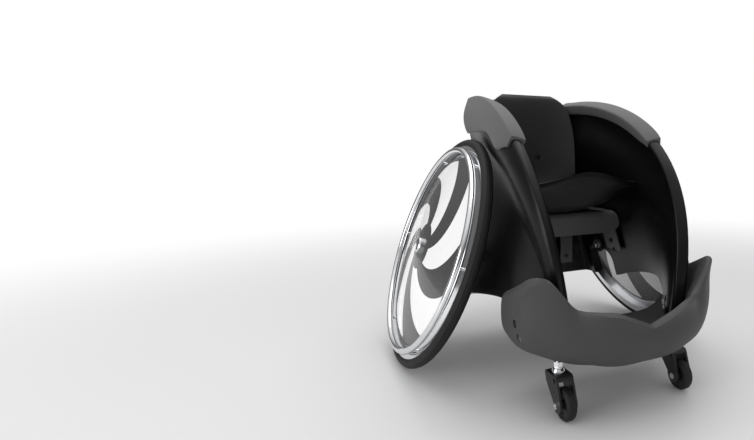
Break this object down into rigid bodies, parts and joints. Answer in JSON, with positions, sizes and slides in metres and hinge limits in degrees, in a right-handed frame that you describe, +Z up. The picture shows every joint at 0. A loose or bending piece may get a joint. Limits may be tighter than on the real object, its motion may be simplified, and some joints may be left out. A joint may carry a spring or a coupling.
{
  "type": "child's wheelchair",
  "caption": "Small wheelchair with a moulded plastic body shell, cambered disc wheels with hand rims, swivel casters, a bucket seat and a bumper that is also the footrest.",
  "frame": {"origin": "on the floor, straight below the middle of the chair's outline box; the line that joins the two rear wheel centres lies 124.5 mm behind it", "axes": "+X to the seated person's left, -Y to the front, +Z up"},
  "size_m": [0.8256, 0.859, 0.705],
  "materials": {
    "shell_plastic": "semi-gloss",
    "seat_plastic": "satin",
    "frame_metal": "satin powder coat",
    "dark_screws": "black oxide",
    "soft_foam": "soft, matte",
    "bumper_plastic": "soft matte",
    "pin_plastic": "matte",
    "sleeve_metal": "black",
    "bright_steel": "polished",
    "tyre_rubber": "matte",
    "disc_plastic": "printed, semi-gloss",
    "hub_metal": "black anodised",
    "caster_plastic": "satin",
    "caster_rubber": "matte"
  },
  "bodies": {
    "chair": {"body_shell": "shell_plastic", "seat_frame": "frame_metal", "seat_shell": "seat_plastic", "back_screws": "dark_screws", "base_screws": "dark_screws", "frame_screws": "dark_screws", "arm_pad_left": "soft_foam", "arm_pad_right": "soft_foam", "bumper_footrest": "bumper_plastic", "bumper_pins_left": "pin_plastic", "bumper_pins_right": "pin_plastic", "axle_sleeves": "sleeve_metal", "axle_left": "bright_steel", "axle_right": "bright_steel", "axle_nuts": "bright_steel", "leg_inserts": "sleeve_metal", "caster_stems": "bright_steel", "lock_nuts": "bright_steel"},
    "wheel_left": {"tyre_left": "tyre_rubber", "wheel_rim_left": "bright_steel", "wheel_disc_left": "disc_plastic", "hand_rim_left": "bright_steel", "rim_posts_left": "bright_steel", "hub_left": "hub_metal", "bearings_left": "bright_steel", "hub_cap_left": "bright_steel"},
    "caster_swivel_left": {"collar_left": "bright_steel", "fork_left": "caster_plastic", "caster_axle_left": "bright_steel", "caster_nut_left": "bright_steel"},
    "caster_wheel_left": {"caster_core_left": "caster_plastic", "caster_tyre_left": "caster_rubber"},
    "wheel_right": {"tyre_right": "tyre_rubber", "wheel_rim_right": "bright_steel", "wheel_disc_right": "disc_plastic", "hand_rim_right": "bright_steel", "rim_posts_right": "bright_steel", "hub_right": "hub_metal", "bearings_right": "bright_steel", "hub_cap_right": "bright_steel"},
    "caster_swivel_right": {"collar_right": "bright_steel", "fork_right": "caster_plastic", "caster_axle_right": "bright_steel", "caster_nut_right": "bright_steel"},
    "caster_wheel_right": {"caster_core_right": "caster_plastic", "caster_tyre_right": "caster_rubber"}
  },
  "joints": [
    {"name": "wheel_spin_left", "type": "hinge", "parent": "chair", "child": "wheel_left", "pos_m": [0.28947, 0.1245, 0.28745], "axis": [0.9397, 0, 0.342], "continuous": true},
    {"name": "caster_swivel_left", "type": "hinge", "parent": "chair", "child": "caster_swivel_left", "pos_m": [0.151, -0.3015, 0.1], "axis": [0, 0, 1], "continuous": true},
    {"name": "caster_wheel_spin_left", "type": "hinge", "parent": "caster_swivel_left", "child": "caster_wheel_left", "pos_m": [0.151, -0.3325, 0.0345], "axis": [1, 0, 0], "continuous": true},
    {"name": "wheel_spin_right", "type": "hinge", "parent": "chair", "child": "wheel_right", "pos_m": [-0.28947, 0.1245, 0.28745], "axis": [-0.9397, 0, 0.342], "continuous": true},
    {"name": "caster_swivel_right", "type": "hinge", "parent": "chair", "child": "caster_swivel_right", "pos_m": [-0.151, -0.3015, 0.1], "axis": [0, 0, 1], "continuous": true},
    {"name": "caster_wheel_spin_right", "type": "hinge", "parent": "caster_swivel_right", "child": "caster_wheel_right", "pos_m": [-0.151, -0.3325, 0.0345], "axis": [1, 0, 0], "continuous": true}
  ]
}
